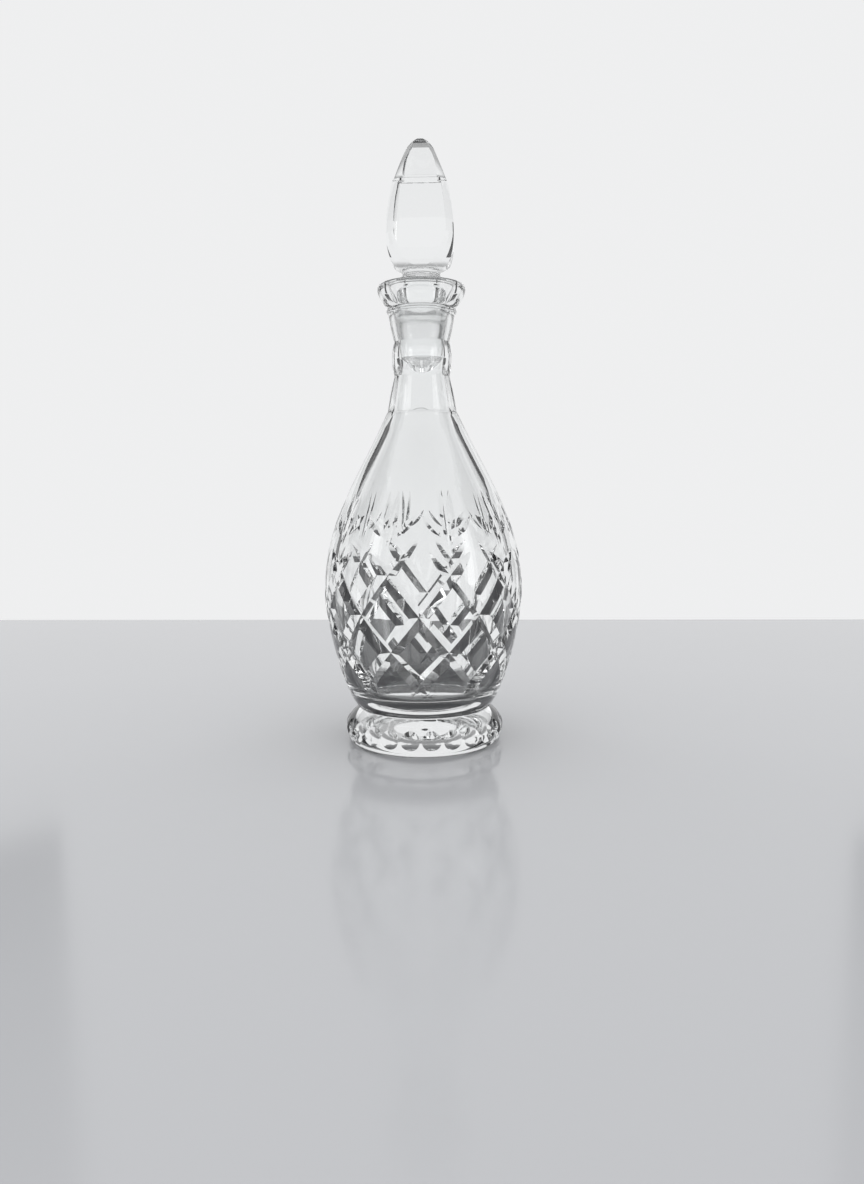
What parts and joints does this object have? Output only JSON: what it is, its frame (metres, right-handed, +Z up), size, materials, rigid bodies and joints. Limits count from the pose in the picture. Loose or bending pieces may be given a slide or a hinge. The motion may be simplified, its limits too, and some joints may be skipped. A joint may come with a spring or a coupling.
{
  "type": "cut glass decanter with stopper",
  "caption": "Footed glass decanter with a bowl cut in diamonds and fans, a panelled neck with a cup lip, and a loose ground stopper with a pointed finial.",
  "frame": {"origin": "centre of the foot's underside, on the surface that the decanter stands on", "axes": "+Z up along the axis of the neck and bowl; -Y faces the front, where a diamond column and a neck panel look straight out; +X to the right"},
  "size_m": [0.1116, 0.1116, 0.3299],
  "materials": {
    "body_crystal": "polished clear lead crystal, deep mitre cuts",
    "stopper_crystal": "polished clear lead crystal with a frosted ground plug"
  },
  "bodies": {
    "decanter": {"decanter_body": "body_crystal"},
    "stopper": {"stopper": "stopper_crystal"}
  },
  "joints": [
    {"name": "stopper_lift", "type": "slide", "parent": "decanter", "child": "stopper", "axis": [0, 0, 1], "range_m": [0, 0.06]}
  ]
}
